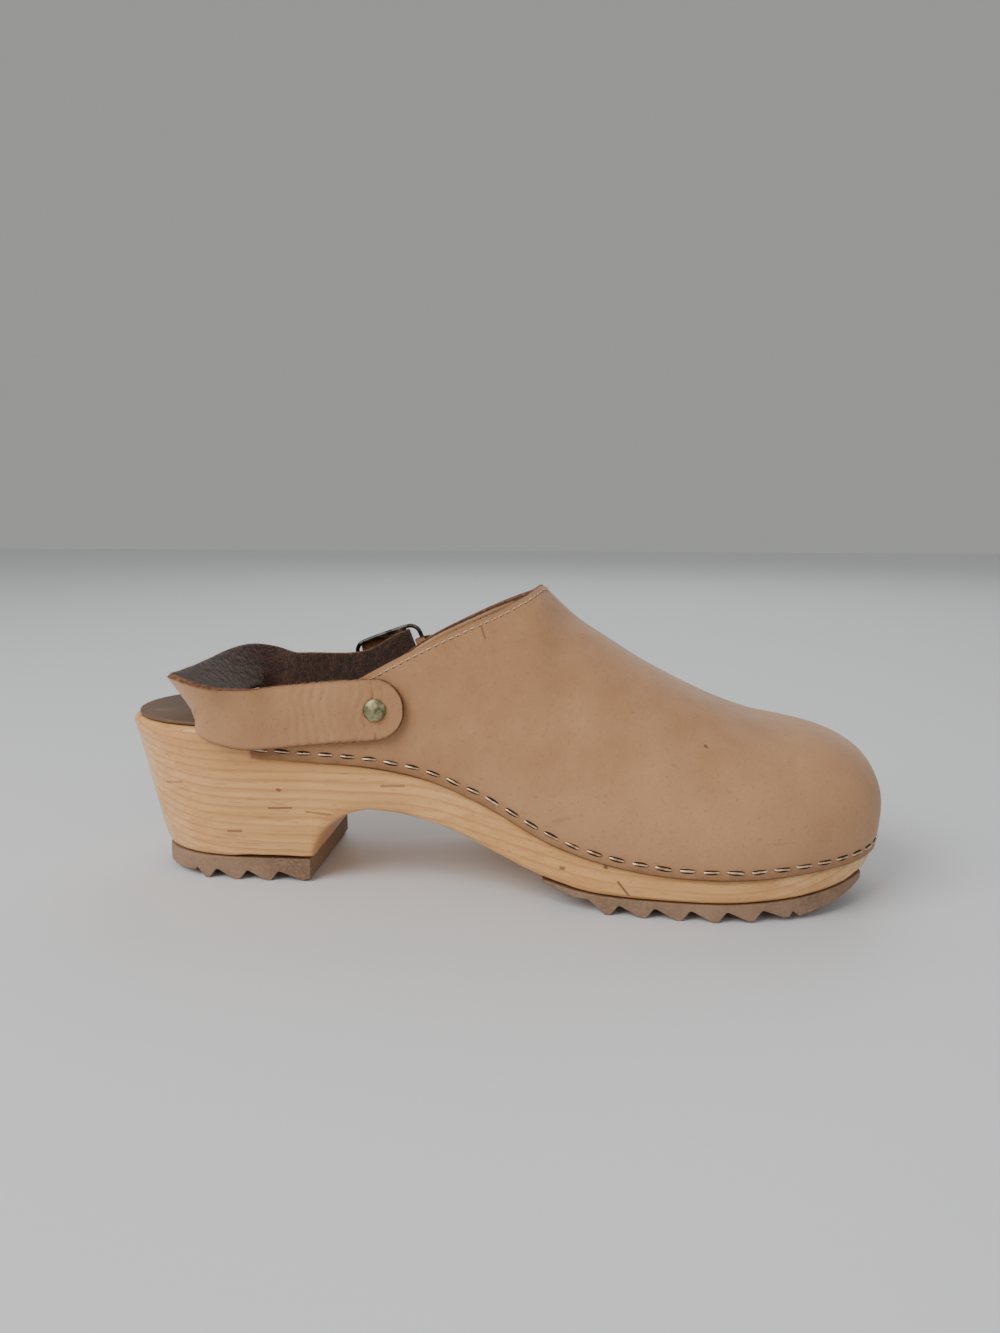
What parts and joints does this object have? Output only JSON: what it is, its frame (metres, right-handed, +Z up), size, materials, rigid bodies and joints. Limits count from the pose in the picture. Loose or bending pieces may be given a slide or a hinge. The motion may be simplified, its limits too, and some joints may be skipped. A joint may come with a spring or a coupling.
{
  "type": "clog mule",
  "caption": "Backless clog for the left foot: carved wooden sole with block heel and rubber treads, stapled nubuck upper, heel strap with a buckle.",
  "frame": {"origin": "middle of the bounding box, on the floor that the treads stand on", "axes": "+X from heel to toe, +Y to the outer (buckle) side of this left shoe, +Z up; the picture looks along about +Y"},
  "size_m": [0.2642, 0.1018, 0.1017],
  "materials": {
    "wood": "satin lacquered light alder",
    "rubber": "matt taupe brown",
    "insole": "smooth dark brown, satin",
    "nubuck": "tan nubuck, matt, raw brown suede inside",
    "facing": "smooth tan",
    "antique_brass": "antique, satin",
    "gunmetal": "dark gunmetal plating"
  },
  "bodies": {
    "root": {"wood_sole": "wood", "heel_tread": "rubber", "forefoot_tread": "rubber", "insole": "insole", "upper": "nubuck", "heel_strap": "nubuck", "strap_tab": "nubuck", "topline_facing": "facing", "rivet_medial": "antique_brass", "rivet_lateral": "antique_brass", "buckle_frame": "gunmetal", "buckle_prong": "gunmetal"}
  },
  "joints": []
}
